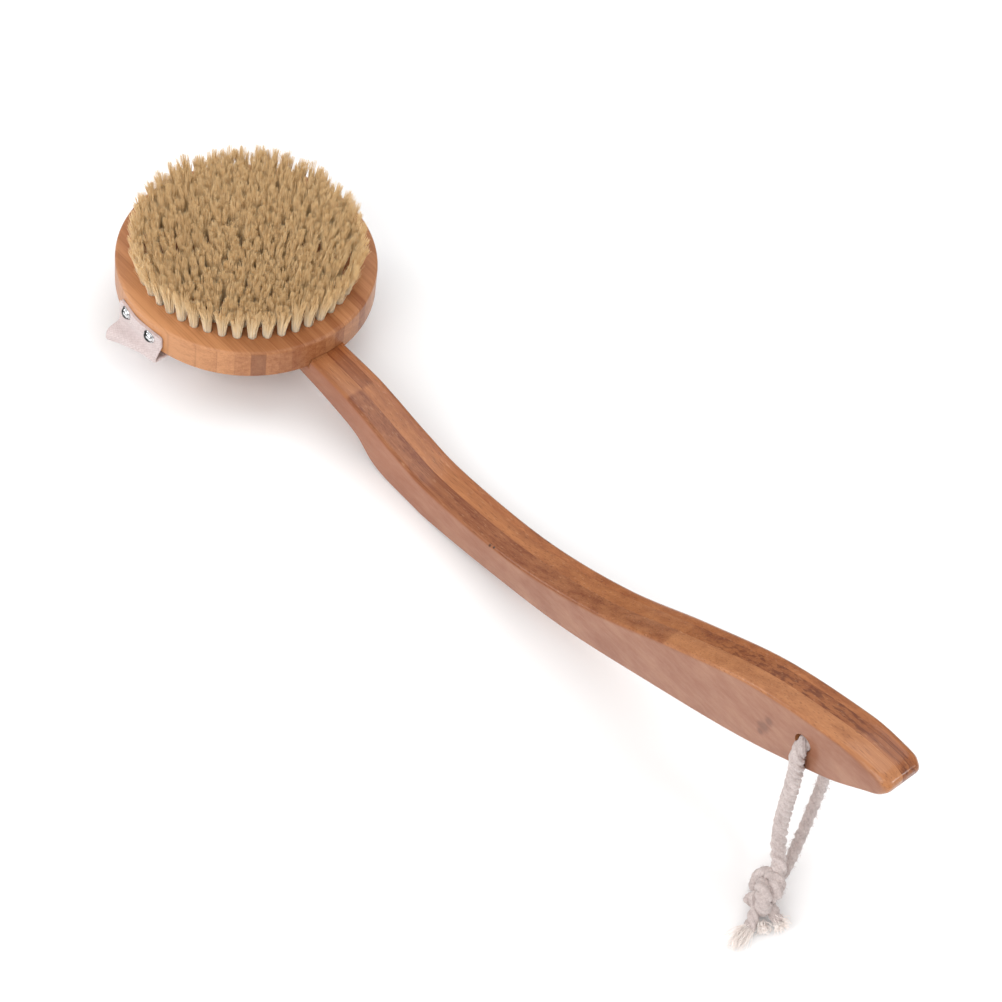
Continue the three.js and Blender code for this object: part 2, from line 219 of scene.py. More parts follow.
def shade(piece, sharp):
    """Smooth shading, but for edges sharper than the angle."""
    piece.data.polygons.foreach_set("use_smooth", [True] * len(piece.data.polygons))
    piece.data.set_sharp_from_angle(angle=math.radians(sharp))


def ring_faces(rings, sides):
    """Quads between rings of points, closed at both ends."""
    faces = []
    for low in range(0, (rings - 1) * sides, sides):
        for i in range(sides):
            j = (i + 1) % sides
            faces.append((low + i, low + j, low + sides + j, low + sides + i))
    faces.append(tuple(reversed(range(sides))))
    faces.append(tuple(range((rings - 1) * sides, rings * sides)))
    return faces


def belongs(piece, body, slot, *nodes):
    """Attaches a piece to its body and hides the CAD nodes that it stands for; the slot is not used."""
    if nodes:
        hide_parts(*nodes)
    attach(piece, body)


def joined(parts):
    """Several (points, faces) as one."""
    points = []
    faces = []
    for part_points, part_faces in parts:
        first = len(points)
        points.extend(map(tuple, part_points))
        faces.extend(tuple(first + i for i in face) for face in part_faces)
    return points, faces


def cut(piece, cutter, sharp=35):
    """Cuts one object's shape out of another and removes the cutter."""
    modifier = piece.modifiers.new("cut", "BOOLEAN")
    modifier.object = cutter
    modifier.operation = "DIFFERENCE"
    modifier.solver = "EXACT"
    depsgraph = bpy.context.evaluated_depsgraph_get()
    result = bpy.data.meshes.new_from_object(piece.evaluated_get(depsgraph))
    piece.modifiers.clear()
    piece.data = result
    bpy.data.objects.remove(cutter)
    shade(piece, sharp)


def unit(vectors):
    """The same directions, with length 1."""
    return vectors / np.linalg.norm(vectors, axis=-1, keepdims=True)


def smooth_curve(points, steps):
    """A Catmull-Rom curve through points, as evenly spaced places."""
    points = np.asarray(points, float)
    padded = np.vstack([2 * points[0] - points[1], points, 2 * points[-1] - points[-2]])
    fine = []
    for a, b, c, d in zip(padded, padded[1:], padded[2:], padded[3:]):
        for t in np.linspace(0, 1, 24, endpoint=False):
            slope = (c - a) * t + (2 * a - 5 * b + 4 * c - d) * t**2 + (3 * b - a - 3 * c + d) * t**3
            fine.append(b + slope / 2)
    fine.append(points[-1])
    return evenly(np.array(fine), steps)


def evenly(line, steps):
    """A polyline resampled to even spacing."""
    along = np.r_[0, np.cumsum(np.linalg.norm(np.diff(line, axis=0), axis=1))]
    wanted = np.linspace(0, along[-1], steps + 1)
    return np.stack([np.interp(wanted, along, line[:, k]) for k in range(line.shape[1])], axis=1)


def line_length(line):
    return np.linalg.norm(np.diff(line, axis=0), axis=1).sum()


def frames_along(line):
    """Two directions across a line at each of its points, turning with it as little as possible."""
    tangents = unit(np.gradient(line, axis=0))
    across = np.cross(tangents[0], [0.3, 0.9, 0.2])
    sides = []
    for tangent in tangents:
        across = unit(across - tangent * (across @ tangent))
        sides.append(across)
    sides = np.array(sides)
    return sides, np.cross(tangents, sides)


# --- Materials ---------------------------------------------------------------------------------


class Surface:
    """A Principled material, with a short way to add and join nodes."""

    def __init__(self, name, **values):
        self.material = bpy.data.materials.new(name)
        self.material.use_nodes = True
        self.tree = self.material.node_tree
        self.shader = self.tree.nodes["Principled BSDF"]
        self.set(self.shader, {key.replace("_", " "): value for key, value in values.items()})

    def set(self, node, values):
        for key, value in values.items():
            if isinstance(value, bpy.types.NodeSocket):
                self.tree.links.new(value, node.inputs[key])
            else:
                node.inputs[key].default_value = value

    def node(self, kind, values, output=0, **settings):
        node = self.tree.nodes.new("ShaderNode" + kind)
        for key, value in settings.items():
            setattr(node, key, value)
        self.set(node, values)
        return node.outputs[output]

    def maths(self, operation, a, b=0.0):
        return self.node("Math", {0: a, 1: b}, operation=operation)

    def place(self, scale, offset=(0, 0, 0)):
        """The piece's own coordinates in millimetres, times a scale per axis."""
        where = self.node("TexCoord", {}, output="Object")
        scaled = tuple(1000 * value for value in scale)
        return self.node("Mapping", {"Vector": where, "Scale": scaled, "Location": offset})

    def noise(self, vector, detail, roughness):
        values = {"Vector": vector, "Scale": 1.0, "Detail": detail, "Roughness": roughness}
        return self.node("TexNoise", values)

    def ramp(self, factor, stops):
        """A colour ramp: stops are (place, colour)."""
        node = self.tree.nodes.new("ShaderNodeValToRGB")
        ramp = node.color_ramp
        while len(ramp.elements) < len(stops):
            ramp.elements.new(0.5)
        for element, (place, colour) in zip(ramp.elements, stops):
            element.position = place
            element.color = colour
        self.tree.links.new(factor, node.inputs[0])
        return node.outputs[0]

    def span(self, value, low, high, to_low=0.0, to_high=1.0):
        """A value between low and high, mapped onto to_low and to_high and held there outside."""
        values = {"Value": value, "From Min": low, "From Max": high, "To Min": to_low, "To Max": to_high}
        return self.node("MapRange", values)

    def part(self, vector, axis):
        """One coordinate of a vector."""
        return self.node("SeparateXYZ", {"Vector": vector}, output=axis)

    def mix(self, factor, a, b):
        """Colour a, turning to colour b as the factor rises to 1."""
        return self.node("Mix", {0: factor, 6: a, 7: b}, output=2, data_type="RGBA")

    def bump(self, height, strength, distance):
        return self.node("Bump", {"Height": height, "Strength": strength, "Distance": distance})


def srgb(red, green, blue):
    """A colour given as 0-255 values, as linear light, opaque."""
    return (*((value / 255) ** 2.2 for value in (red, green, blue)), 1)


def spots(s, places, ragged):
    """How far each point lies inside the nearest dark spot; places are (x, y, z, radius)."""
    inside = 0.0
    for x, y, z, radius in places:
        centre = tuple(placed([(x, y, z)])[0] / MM)
        apart = {0: s.place((1, 1, 1)), 1: centre}
        reach = s.node("VectorMath", apart, output="Value", operation="DISTANCE")
        reach = s.maths("ADD", reach, s.maths("MULTIPLY", ragged, 0.6 * radius))
        inside = s.maths("MAXIMUM", inside, s.span(reach, 0.7 * radius, 1.3 * radius, 1, 0))
    return inside


# The flat sides' palette is greyer and pinker than the tops': partly the plainer face of the strips,
# partly a painted sheen of the light on these faces.
SIDE_DARK = srgb(132, 80, 56)
SIDE_LIGHT = srgb(166, 119, 94)


def bamboo(name, dark, light, tone_along, seed, specks=(), node_marks=(), streaks_from=400):
    """One layer of laminated bamboo, its fibres along X, darker and plainer on the flat sides, whose
    greyer, pinker palette partly paints the light's sheen.

    tone_along is a list of (x, tone, width): around each x the strip turns to that tone.
    specks and node_marks are places for spots, and dark streaks start beyond streaks_from.
    """
    s = Surface(name, Roughness=0.5, Coat_Weight=0.6, Coat_Roughness=0.2, Specular_IOR_Level=0.2)
    shift = (seed * 3.1, seed * 7.7, seed * 1.3)
    streaks = s.noise(s.place((0.012, 0.28, 0.28), shift), 5, 0.62)
    fibres = s.noise(s.place((0.05, 1.9, 1.9), shift), 3, 0.7)
    dashes = s.node("TexVoronoi", {"Vector": s.place((0.11, 1.5, 1.5), shift), "Scale": 1.0})
    where = s.part(s.place((1, 1, 1)), "X")
    tone = tone_along[0][1]
    for (x, value, width), (_, before, _) in zip(tone_along[1:], tone_along):
        low_x = x - width / 2 + ORIGIN[0] / MM
        step = s.span(where, low_x, low_x + width, 0, value - before)
        tone = s.maths("ADD", step, tone)
    mixed = s.maths("ADD", s.span(streaks, 0.3, 0.7, -0.28, 0.28), tone)
    mixed = s.maths("ADD", s.span(fibres, 0.3, 0.7, -0.16, 0.16), mixed)
    base = s.ramp(mixed, [(0.0, dark), (1.0, light)])
    dash = s.span(dashes, 0.1, 0.3, 0.45, 0)
    burnt = (*(value * 0.35 for value in dark[:3]), 1)
    base = s.mix(dash, base, burnt)
    start = streaks_from + ORIGIN[0] / MM
    long_streaks = s.noise(s.place((0.009, 0.8, 0.8), shift), 2, 0.5)
    begun = s.span(where, start, start + 25, 0, 0.7)
    streak = s.maths("MULTIPLY", s.span(long_streaks, 0.5, 0.62), begun)
    base = s.mix(streak, base, srgb(92, 44, 20))
    # Pale flecks: partly the fibres' own tone, partly painted glints where the edges catch the light.
    flecks_and_glints = s.noise(s.place((0.3, 1.3, 1.3), shift), 2, 0.5)
    base = s.mix(s.span(flecks_and_glints, 0.62, 0.72, 0, 0.16), base, srgb(214, 168, 126))
    side = s.node("TexCoord", {}, output="Normal")
    facing = s.maths("ABSOLUTE", s.part(side, "Y"))
    flat = s.span(facing, 0.75, 0.95)
    fine = s.noise(s.place((0.12, 0.5, 0.5), shift), 5, 0.75)
    patch = s.noise(s.place((0.03, 0.07, 0.07), shift), 4, 0.7)
    grain = s.maths("ADD", s.span(fine, 0.3, 0.7, 0, 0.4), s.span(patch, 0.35, 0.65, 0, 0.6))
    # Partly painted sheen: the flat sides take the greyer, pinker side palette.
    face = s.mix(grain, SIDE_DARK, SIDE_LIGHT)
    heel = 140 + ORIGIN[0] / MM
    face = s.mix(s.span(where, heel - 40, heel + 40, 0.4, 0), face, srgb(158, 92, 56))
    face = s.mix(s.maths("MULTIPLY", spots(s, node_marks, grain), 0.55), face, srgb(96, 56, 40))
    colour = s.mix(flat, base, face)
    colour = s.mix(spots(s, specks, fibres), colour, srgb(40, 26, 18))
    s.set(s.shader, {"Base Color": colour})
    rough = s.span(fibres, 0.3, 0.7, 0.42, 0.58)
    s.set(s.shader, {"Roughness": rough})
    relief = s.maths("SUBTRACT", fibres, s.maths("MULTIPLY", dash, 0.8))
    s.set(s.shader, {"Normal": s.bump(relief, 0.25, 0.0002)})
    return s.material


def head_bamboo():
    """Edge-glued bamboo strips along X, each with its own tone, and their ends at the rim."""
    s = Surface("head_bamboo", Coat_Weight=0.12, Coat_Roughness=0.2, Specular_IOR_Level=0.35)
    place = s.place((1, 1, 1))
    y = s.part(place, "Y")
    strip_place = s.maths("DIVIDE", s.maths("ADD", y, 1.4), 4.9)
    strip = s.maths("FLOOR", strip_place)
    own = s.node("TexWhiteNoise", {"W": strip}, noise_dimensions="1D")
    inside = s.maths("FRACT", strip_place)
    seam = s.maths("MINIMUM", inside, s.maths("SUBTRACT", 1.0, inside))
    line = s.span(seam, 0.0, 0.05, 0.22, 0)
    streaks = s.noise(s.place((0.012, 0.5, 0.5)), 5, 0.65)
    fibres = s.noise(s.place((0.05, 2.0, 2.0)), 3, 0.7)
    x = s.part(place, "X")
    middle = ORIGIN[0] / MM
    # Painted light: the near strips on the handle's half of the head are made paler, standing for light
    # falling on the head's front.
    pale = s.maths("MULTIPLY", s.span(y, -50, -34, 0.7, 0), s.span(x, middle - 40, middle - 5))
    tone = s.maths("ADD", s.span(own, 0, 1, 0.2, 0.66), s.span(streaks, 0.3, 0.7, -0.22, 0.22))
    tone = s.maths("ADD", tone, pale)
    tone = s.maths("ADD", tone, s.span(fibres, 0.3, 0.7, -0.14, 0.14))
    colour = s.ramp(tone, [(0.0, srgb(130, 74, 42)), (1.0, srgb(196, 138, 94))])
    odd = s.node("Math", {0: strip, 1: -6.0, 2: 0.4}, operation="COMPARE")
    upward = s.part(s.node("TexCoord", {}, output="Normal"), "Z")
    rim = s.span(s.maths("ABSOLUTE", upward), 0.3, 0.7, 0.5, 0.1)
    colour = s.mix(s.maths("MULTIPLY", odd, rim), colour, srgb(112, 70, 50))
    colour = s.mix(line, colour, srgb(100, 56, 32))
    s.set(s.shader, {"Base Color": colour, "Roughness": s.span(fibres, 0.3, 0.7, 0.36, 0.52)})
    relief = s.maths("SUBTRACT", fibres, s.maths("MULTIPLY", line, 1.5))
    s.set(s.shader, {"Normal": s.bump(relief, 0.3, 0.0002)})
    return s.material


def bristle_surface():
    """Pale stiff bristle, tan at the cut tips and a little different from hair to hair."""
    s = Surface("bristle", Roughness=0.5, Specular_IOR_Level=0.35, Sheen_Weight=0.15)
    z = s.part(s.place((1, 1, 1)), "Z")
    face = ORIGIN[2] / MM
    height = s.span(z, face, face + TIP_HEIGHT)
    own = s.node("Attribute", {}, output="Fac", attribute_name="own")
    tone = s.maths("ADD", s.maths("MULTIPLY", own, 0.35), s.maths("MULTIPLY", height, 0.65))
    stops = [(0.0, srgb(255, 250, 236)), (0.5, srgb(255, 232, 190)), (1.0, srgb(221, 187, 132))]
    s.set(s.shader, {"Base Color": s.ramp(tone, stops)})
    grain = s.noise(s.place((3, 3, 0.6)), 2, 0.5)
    s.set(s.shader, {"Roughness": s.span(grain, 0.3, 0.7, 0.42, 0.62)})
    return s.material


def cotton_surface(name, light, dark):
    """Soft spun cotton: fine fibres, slightly greyer in uneven patches."""
    s = Surface(name, Roughness=0.92, Specular_IOR_Level=0.15, Sheen_Weight=0.35, Sheen_Roughness=0.5)
    fuzz = s.noise(s.place((1.6, 1.6, 1.6)), 5, 0.7)
    patches = s.noise(s.place((0.25, 0.25, 0.25)), 3, 0.6)
    tone = s.maths("ADD", s.span(fuzz, 0.3, 0.7, 0, 0.6), s.span(patches, 0.3, 0.7, 0, 0.4))
    s.set(s.shader, {"Base Color": s.ramp(tone, [(0.0, dark), (1.0, light)])})
    s.set(s.shader, {"Roughness": s.span(fuzz, 0.3, 0.7, 0.85, 0.98)})
    s.set(s.shader, {"Normal": s.bump(fuzz, 0.5, 0.0003)})
    return s.material


def canvas_surface():
    """Plain-woven cotton canvas; the piece's UV holds millimetres across and along."""
    s = Surface("strap_canvas", Roughness=0.9, Specular_IOR_Level=0.15, Sheen_Weight=0.3)
    uv = s.node("TexCoord", {}, output="UV")
    u = s.part(uv, "X")
    v = s.part(uv, "Y")
    warp = s.maths("SINE", s.maths("MULTIPLY", u, 2 * math.pi / 1.1))
    weft = s.maths("SINE", s.maths("MULTIPLY", v, 2 * math.pi / 1.1))
    weave = s.maths("MULTIPLY", warp, weft)
    slubs = s.noise(s.place((0.8, 0.8, 0.8)), 4, 0.6)
    tone = s.maths("ADD", s.span(weave, -1, 1, 0, 0.5), s.span(slubs, 0.3, 0.7, 0, 0.5))
    stops = [(0.0, srgb(192, 173, 170)), (1.0, srgb(222, 207, 205))]
    s.set(s.shader, {"Base Color": s.ramp(tone, stops)})
    s.set(s.shader, {"Roughness": s.span(slubs, 0.3, 0.7, 0.82, 0.96)})
    s.set(s.shader, {"Normal": s.bump(s.maths("ADD", weave, slubs), 0.45, 0.00025)})
    return s.material


def chrome_surface():
    """Bright plated steel, with a dark reflection painted in a crescent low on one side of the dome."""
    s = Surface("tack_chrome", Metallic=1.0, Roughness=0.08)
    marks = s.noise(s.place((2, 2, 2)), 4, 0.6)
    within = s.node("TexCoord", {}, output="Generated")
    x = s.maths("SUBTRACT", s.part(within, "X"), 0.62)
    z = s.maths("SUBTRACT", s.part(within, "Z"), 0.74)
    reach = s.maths("SQRT", s.maths("ADD", s.maths("MULTIPLY", x, x), s.maths("MULTIPLY", z, z)))
    ring = s.maths("MULTIPLY", s.span(reach, 0.1, 0.16), s.span(reach, 0.52, 0.58, 1, 0))
    low = s.span(s.maths("ADD", x, z), -0.12, -0.04, 1, 0)
    # Painted reflection: the dome is coloured near black in this crescent, as if it mirrored a dark
    # room.
    dark = s.maths("MULTIPLY", ring, low)
    s.set(s.shader, {"Base Color": s.mix(dark, (0.7, 0.7, 0.71, 1), (0.01, 0.01, 0.01, 1))})
    s.set(s.shader, {"Roughness": s.span(marks, 0.3, 0.7, 0.05, 0.14)})
    return s.material


NEAR_BAMBOO = bamboo(
    "bamboo_near",
    srgb(112, 55, 24),
    srgb(178, 118, 76),
    [(0, 0.7, 1), (75, 0.28, 1.4), (200, 0.46, 80), (252, 0.82, 1.4)],
    1,
    specks=[(162, -8.6, -14.8, 0.9), (164, -8.6, -14, 0.6)],
    node_marks=[(303, -9.4, 28.5, 3.6), (304.5, -9.4, 33, 2.6), (302, -9.4, 24.5, 2)],
)
MIDDLE_BAMBOO = bamboo(
    "bamboo_middle",
    srgb(110, 52, 22),
    srgb(174, 111, 66),
    [(0, 0.34, 1), (75, 0.66, 1.4), (254, 0.42, 1.4)],
    2,
    streaks_from=255,
)
FAR_BAMBOO = bamboo(
    "bamboo_far",
    srgb(114, 55, 22),
    srgb(178, 112, 66),
    [(0, 0.5, 1)],
    3,
    specks=[(166, 9, -13.2, 1.0), (172, 9, -12, 0.6), (176, 9, -11.2, 1.0)],
)
HEAD_BAMBOO = head_bamboo()
BRISTLE = bristle_surface()
COTTON = cotton_surface("rope_cotton", srgb(220, 207, 203), srgb(158, 143, 139))
# Painted light: a paler copy of the rope's cotton for the frayed ends, offsetting the shade their dense
# fibres cast on each other.
COTTON_ENDS_PAINTED_LIGHT = cotton_surface("rope_ends_painted_light", srgb(255, 250, 246), srgb(240, 226, 218))
CANVAS = canvas_surface()
CHROME = chrome_surface()


# --- Camera ------------------------------------------------------------------------------------


def make_camera():
    camera = bpy.data.objects.new("camera", bpy.data.cameras.new("camera"))
    bpy.context.scene.collection.objects.link(camera)
    bpy.context.scene.camera = camera
    place = Vector(CAMERA_PLACE) * MM
    aim = (Vector(CAMERA_AIM) * MM - place).to_track_quat("-Z", "Y")
    camera.location = place
    camera.rotation_mode = "QUATERNION"
    camera.rotation_quaternion = aim @ Quaternion((0, 0, 1), math.radians(CAMERA_ROLL))
    camera.data.lens = CAMERA_LENS
    camera.data.clip_start = 0.01
    camera.data.clip_end = 20


make_camera()


# --- Rope --------------------------------------------------------------------------------------


def rope_points(line, radius):
    """Rings of a rope of three strands twisted together, each of finer yarns."""
    across, up = frames_along(line)
    along = np.r_[0, np.cumsum(np.linalg.norm(np.diff(line, axis=0), axis=1))][:, None]
    angle = np.linspace(0, 2 * np.pi, ROPE_SIDES, endpoint=False)[None, :]
    lobe = 2 * np.pi / 3
    twist = angle + 2 * np.pi * along / ROPE_LAY
    inside = np.mod(twist, lobe) - lobe / 2
    offset = 0.36
    strand = 1 - offset
    reach = offset * np.cos(inside) + np.sqrt(strand**2 - (offset * np.sin(inside)) ** 2)
    yarn = np.arctan2(reach * np.sin(inside), reach * np.cos(inside) - offset)
    ripple = 0.035 * np.sin(8 * yarn - 2 * np.pi * along / YARN_LAY)
    lumps = 0.03 * np.sin(along * 1.3 + 2 * angle) + 0.02 * np.sin(along * 4.1 - 3 * angle)
    reach = radius * (reach + ripple + lumps)
    circle = np.cos(angle)[..., None] * across[:, None] + np.sin(angle)[..., None] * up[:, None]
    rings = line[:, None] + reach[..., None] * circle
    return rings.reshape(-1, 3)


def rope_piece(name, lines, radius, *nodes):
    """Rope of one radius along each line, as one piece."""
    parts = [(rope_points(line, radius), ring_faces(len(line), ROPE_SIDES)) for line in lines]
    piece = mesh_piece(name, *joined(parts), COTTON, 60)
    belongs(piece, "handle", "rope_cotton", *nodes)
    return piece


def hair_mesh(roots, tips, radii, steps, curl, bow):
    """Closed hairs from roots to tips, bowed in the middle; curl delays their sideways reach."""
    t = np.linspace(0, 1, steps + 1)[None, :, None]
    reach = tips - roots
    rise = np.zeros_like(reach)
    rise[:, 2] = reach[:, 2]
    spread = reach - rise
    line = roots[:, None] + rise[:, None] * t + spread[:, None] * t**curl
    line = line + bow[:, None] * 4 * t * (1 - t)
    along = unit(reach)
    helper = np.where(np.abs(along[:, 2:]) < 0.9, [[0, 0, 1.0]], [[1.0, 0, 0]])
    side = unit(np.cross(along, helper))
    up = np.cross(along, side)
    radius = (radii[0] + (radii[1] - radii[0]) * t**1.5)[..., None]
    turns = 2 * np.pi * np.arange(HAIR_SIDES) / HAIR_SIDES
    circle = np.cos(turns)[:, None] * side[:, None] + np.sin(turns)[:, None] * up[:, None]
    points = line[:, :, None] + radius * circle[:, None]
    first = HAIR_SIDES * (steps + 1) * np.arange(len(roots))[:, None, None]
    *quads, root_end, tip_end = ring_faces(steps + 1, HAIR_SIDES)
    quad_faces = (first + np.array(quads)).reshape(-1, 4)
    end_faces = (first + np.array([root_end, tip_end])).reshape(-1, HAIR_SIDES)
    return points.reshape(-1, 3), quad_faces.tolist() + end_faces.tolist()


def overhand_knot():
    """The line of one overhand knot drawn tight, for a rope of radius 1, ends along X.

    A loose knot's ends are pulled apart a little at a time. Each time, the line straightens,
    its touching parts push each other away, and its steps go back to their own length.
    """
    pulls = 1400
    pull = np.array([0.012, 0, 0])
    touching = 1.9
    t = np.linspace(-2.15, 2.15, 91)
    line = np.stack([t**3 - 3 * t, t**4 - 4 * t**2 + 2, t**5 / 5 - 2 * t], axis=1) * [1.5, 0.9, 0.7]
    line = evenly(line, 90)
    gap = np.linalg.norm(line[1] - line[0])
    index = np.arange(len(line))
    apart = np.abs(index[:, None] - index[None, :]) * gap
    far_enough = apart > 3.4
    for _ in range(pulls):
        line[0] -= pull
        line[-1] += pull
        bend = line[:-2] + line[2:] - 2 * line[1:-1]
        line[1:-1] += 0.12 * bend
        for _ in range(3):
            delta = line[:, None] - line[None, :]
            distance = np.linalg.norm(delta, axis=2) + 1e-9
            push = np.where(far_enough & (distance < touching), touching - distance, 0)
            line += 0.25 * (delta / distance[..., None] * push[..., None]).sum(1)
            for start in (0, 1):
                a = line[start:-1:2]
                b = line[start + 1 :: 2]
                step_vector = b - a
                length = np.linalg.norm(step_vector, axis=1, keepdims=True)
                fix = 0.5 * (length - gap) / length * step_vector
                a += fix
                b -= fix
    return line


def placed_knot():
    """The knot's line at the end of the two strands, kept clear of the floor."""
    line = overhand_knot()
    middle = line[len(line) // 2]
    centre = (line.max(0) + line.min(0)) / 2
    line = evenly(line, 420)
    along = line[:, 0] - middle[0]
    line = line[(along > KNOT_SHOWN[0]) & (along < KNOT_SHOWN[1])] - centre
    down = unit(np.array(KNOT_WAY))
    deep = unit(np.cross(down, [0.3, 0.1, 1.0]))
    wide = np.cross(down, deep)
    line = KNOT_CENTRE + KNOT_SIZE * (line * KNOT_SHARES) @ np.array([down, wide, deep])
    line[:, 2] = np.maximum(line[:, 2], REST_Z + ROPE_BULGE * KNOT_ROPE_RADIUS)
    return line


def frayed_end(start, way, length, width, count):
    """Roots and tips of the loose fibres where a rope end has come untwisted."""
    start = np.array(start)
    way = unit(np.array(way, float))
    spread = RANDOM.normal(0, 1, (count, 3))
    spread -= (spread @ way)[:, None] * way
    roots = start + spread * 0.45 * width + way * RANDOM.uniform(-1.5, 1.5, (count, 1))
    reach = length * RANDOM.uniform(0.45, 1.0, (count, 1))
    tips = roots + way * reach + spread * width * RANDOM.uniform(0.2, 1.0, (count, 1))
    floor = REST_Z + 0.3
    roots[:, 2] = np.maximum(roots[:, 2], floor)
    tips[:, 2] = np.maximum(tips[:, 2], floor + RANDOM.uniform(0, 1.2, count))
    return roots, tips


def fuzz(line, radius):
    """Roots and tips of short fibres that stand off a rope's surface."""
    across, up = frames_along(line)
    index = RANDOM.integers(2, len(line) - 2, FUZZ_COUNT)
    angle = RANDOM.uniform(0, 2 * np.pi, (FUZZ_COUNT, 1))
    out = np.cos(angle) * across[index] + np.sin(angle) * up[index]
    along = unit(line[index + 1] - line[index - 1])
    roots = line[index] + out * radius * 0.8
    tips = roots + out * RANDOM.uniform(0.5, 1.5, (FUZZ_COUNT, 1))
    tips = tips + along * RANDOM.normal(0, 0.7, (FUZZ_COUNT, 1))
    tips[:, 2] = np.maximum(tips[:, 2], REST_Z + 0.1)
    return roots, tips


def all_hairs(pairs):
    """The roots and the tips of several lots of hairs."""
    return [np.concatenate(lots) for lots in zip(*pairs)]


def loose_fibres(name, pairs, radii, bend, material):
    """Fibres that bow upwards and don't reach the floor."""
    roots, tips = all_hairs(pairs)
    tips[:, 2] = np.maximum(tips[:, 2], REST_Z + 2 * radii[0])
    bow = RANDOM.normal(0, bend, roots.shape)
    bow[:, 2] = np.abs(bow[:, 2])
    points, faces = hair_mesh(roots, tips, radii, 4, 1.0, bow)
    piece = mesh_piece(name, points, faces, material, 80)
    belongs(piece, "handle", "rope_cotton")
    return piece


def make_rope():
    """The loop's two strands, the knot that joins them, its two tails and all loose fibres."""
    near_line = smooth_curve(NEAR_STRAND, 300)
    far_line = smooth_curve(FAR_STRAND, 300)
    knot_line = placed_knot()
    tail_lines = [smooth_curve(points, 60) for points in TAIL_LINES]
    near = rope_piece("rope_loop_near", [near_line], NEAR_RADIUS, "rope_strand_near")
    far = rope_piece("rope_loop_far", [far_line], FAR_RADIUS, "rope_strand_far")
    knot_nodes = ("rope_knot", "rope_end_1", "rope_end_2")
    knot = rope_piece("rope_overhand_knot", [knot_line], KNOT_ROPE_RADIUS, *knot_nodes)
    tails = rope_piece("rope_tails", tail_lines, TAIL_RADIUS)
    ends = [frayed_end(*fray) for fray in FRAYS]
    # The frays take the paler cotton, painted light against their own shade.
    frays = loose_fibres("rope_frayed_ends", ends, FRAY_RADII, 0.8, COTTON_ENDS_PAINTED_LIGHT)
    fuzzy = [(near_line, ROPE_RADIUS), (far_line, ROPE_RADIUS), (knot_line, KNOT_ROPE_RADIUS)]
    all_fuzz = loose_fibres("rope_fuzz", [fuzz(*one) for one in fuzzy], FUZZ_RADII, 0.25, COTTON)


make_rope()


# --- Head --------------------------------------------------------------------------------------


def lathe_points(profile, sides):
    """Rings of points from (radius, height) pairs, about Z."""
    angle = np.linspace(0, 2 * np.pi, sides, endpoint=False)
    rings = [np.stack([r * np.cos(angle), r * np.sin(angle), np.full(sides, z)], 1) for r, z in profile]
    return np.concatenate(rings)


def corner(centre_r, centre_z, radius, start, end):
    """A rounded corner of a profile, from one angle to another in degrees."""
    angles = np.radians(np.linspace(start, end, 7))
    return [(centre_r + radius * math.cos(a), centre_z + radius * math.sin(a)) for a in angles]


def tuft_places(radius):
    """Evenly spaced places of the tufts on a ring; a ring of radius 0 has one."""
    count = max(1, round(2 * math.pi * radius / TUFT_PITCH))
    angles = 2 * np.pi * (np.arange(count) + 0.5) / count
    return np.stack([radius * np.cos(angles), radius * np.sin(angles)], axis=1)


def prism(section, start_x, end_x):
    """A section in (Y, Z) run along X, as points and faces."""
    points = [(x, y, z) for x in (start_x, end_x) for y, z in section]
    return points, ring_faces(2, len(section))


def small_hole(radius, low, high):
    """The cutter of a round hole about Z."""
    points = lathe_points([(radius, low), (radius, high)], SMALL_HOLE_SIDES)
    return points, ring_faces(2, SMALL_HOLE_SIDES)


def rimward(points, x, side, radius):
    """Points about Z turned to point out of the rim at a tack's place, and that direction."""
    out = np.array([x, side * math.sqrt(radius**2 - x * x), 0]) / radius
    around = np.array([-out[1], out[0], 0])
    turned = points[:, 2:] * out + points[:, :1] * around + points[:, 1:2] * [0, 0, 1]
    return turned, out


def groove_cutter():
    """The blind dovetail groove in the head's back."""
    low = -HEAD_THICKNESS
    top = GROOVE_DEPTH - HEAD_THICKNESS
    neck = DOVETAIL_NECK / 2 + GAP
    wide = DOVETAIL_WIDE / 2 + GAP
    section = [(-neck, low - 1), (neck, low - 1), (neck, low), (wide, top), (-wide, top), (-neck, low)]
    return prism(section, TONGUE_END_X - GAP, HEAD_RADIUS + 1)


def head_cutters():
    """Every hole in the head: one for each tuft, the groove, and one for each tack's shank."""
    cutters = []
    for radius in RING_RADII:
        for x, y in tuft_places(radius):
            points, faces = small_hole(TUFT_HOLE_RADIUS, -TUFT_HOLE_DEPTH, 1)
            cutters.append((points + [x, y, 0], faces))
    cutters.append(groove_cutter())
    for x in TACK_XS:
        for side in (-1, 1):
            ends = (HEAD_RADIUS - SHANK_HOLE_DEPTH, HEAD_RADIUS + 1)
            points, faces = small_hole(SHANK_HOLE_RADIUS, *ends)
            points, _ = rimward(points, x, side, HEAD_RADIUS)
            cutters.append((points + [0, 0, TACK_Z], faces))
    return cutters


def make_head():
    r = HEAD_ROUNDING
    low = -HEAD_THICKNESS
    profile = [(HEAD_RADIUS - r - 0.5, low)]
    profile += corner(HEAD_RADIUS - r, low + r, r, -90, 0)
    profile += corner(HEAD_RADIUS - r, -r, r, 0, 90)
    profile += [(HEAD_RADIUS - r - 0.5, 0)]
    points = lathe_points(profile, HEAD_SIDES)
    head = mesh_piece("head_board", points, ring_faces(len(profile), HEAD_SIDES), HEAD_BAMBOO)
    cut(head, mesh_piece("head_cutter", *joined(head_cutters()), HEAD_BAMBOO), 40)
    belongs(head, "head", "head_bamboo", "head_block")


make_head()


# --- Hand strap --------------------------------------------------------------------------------


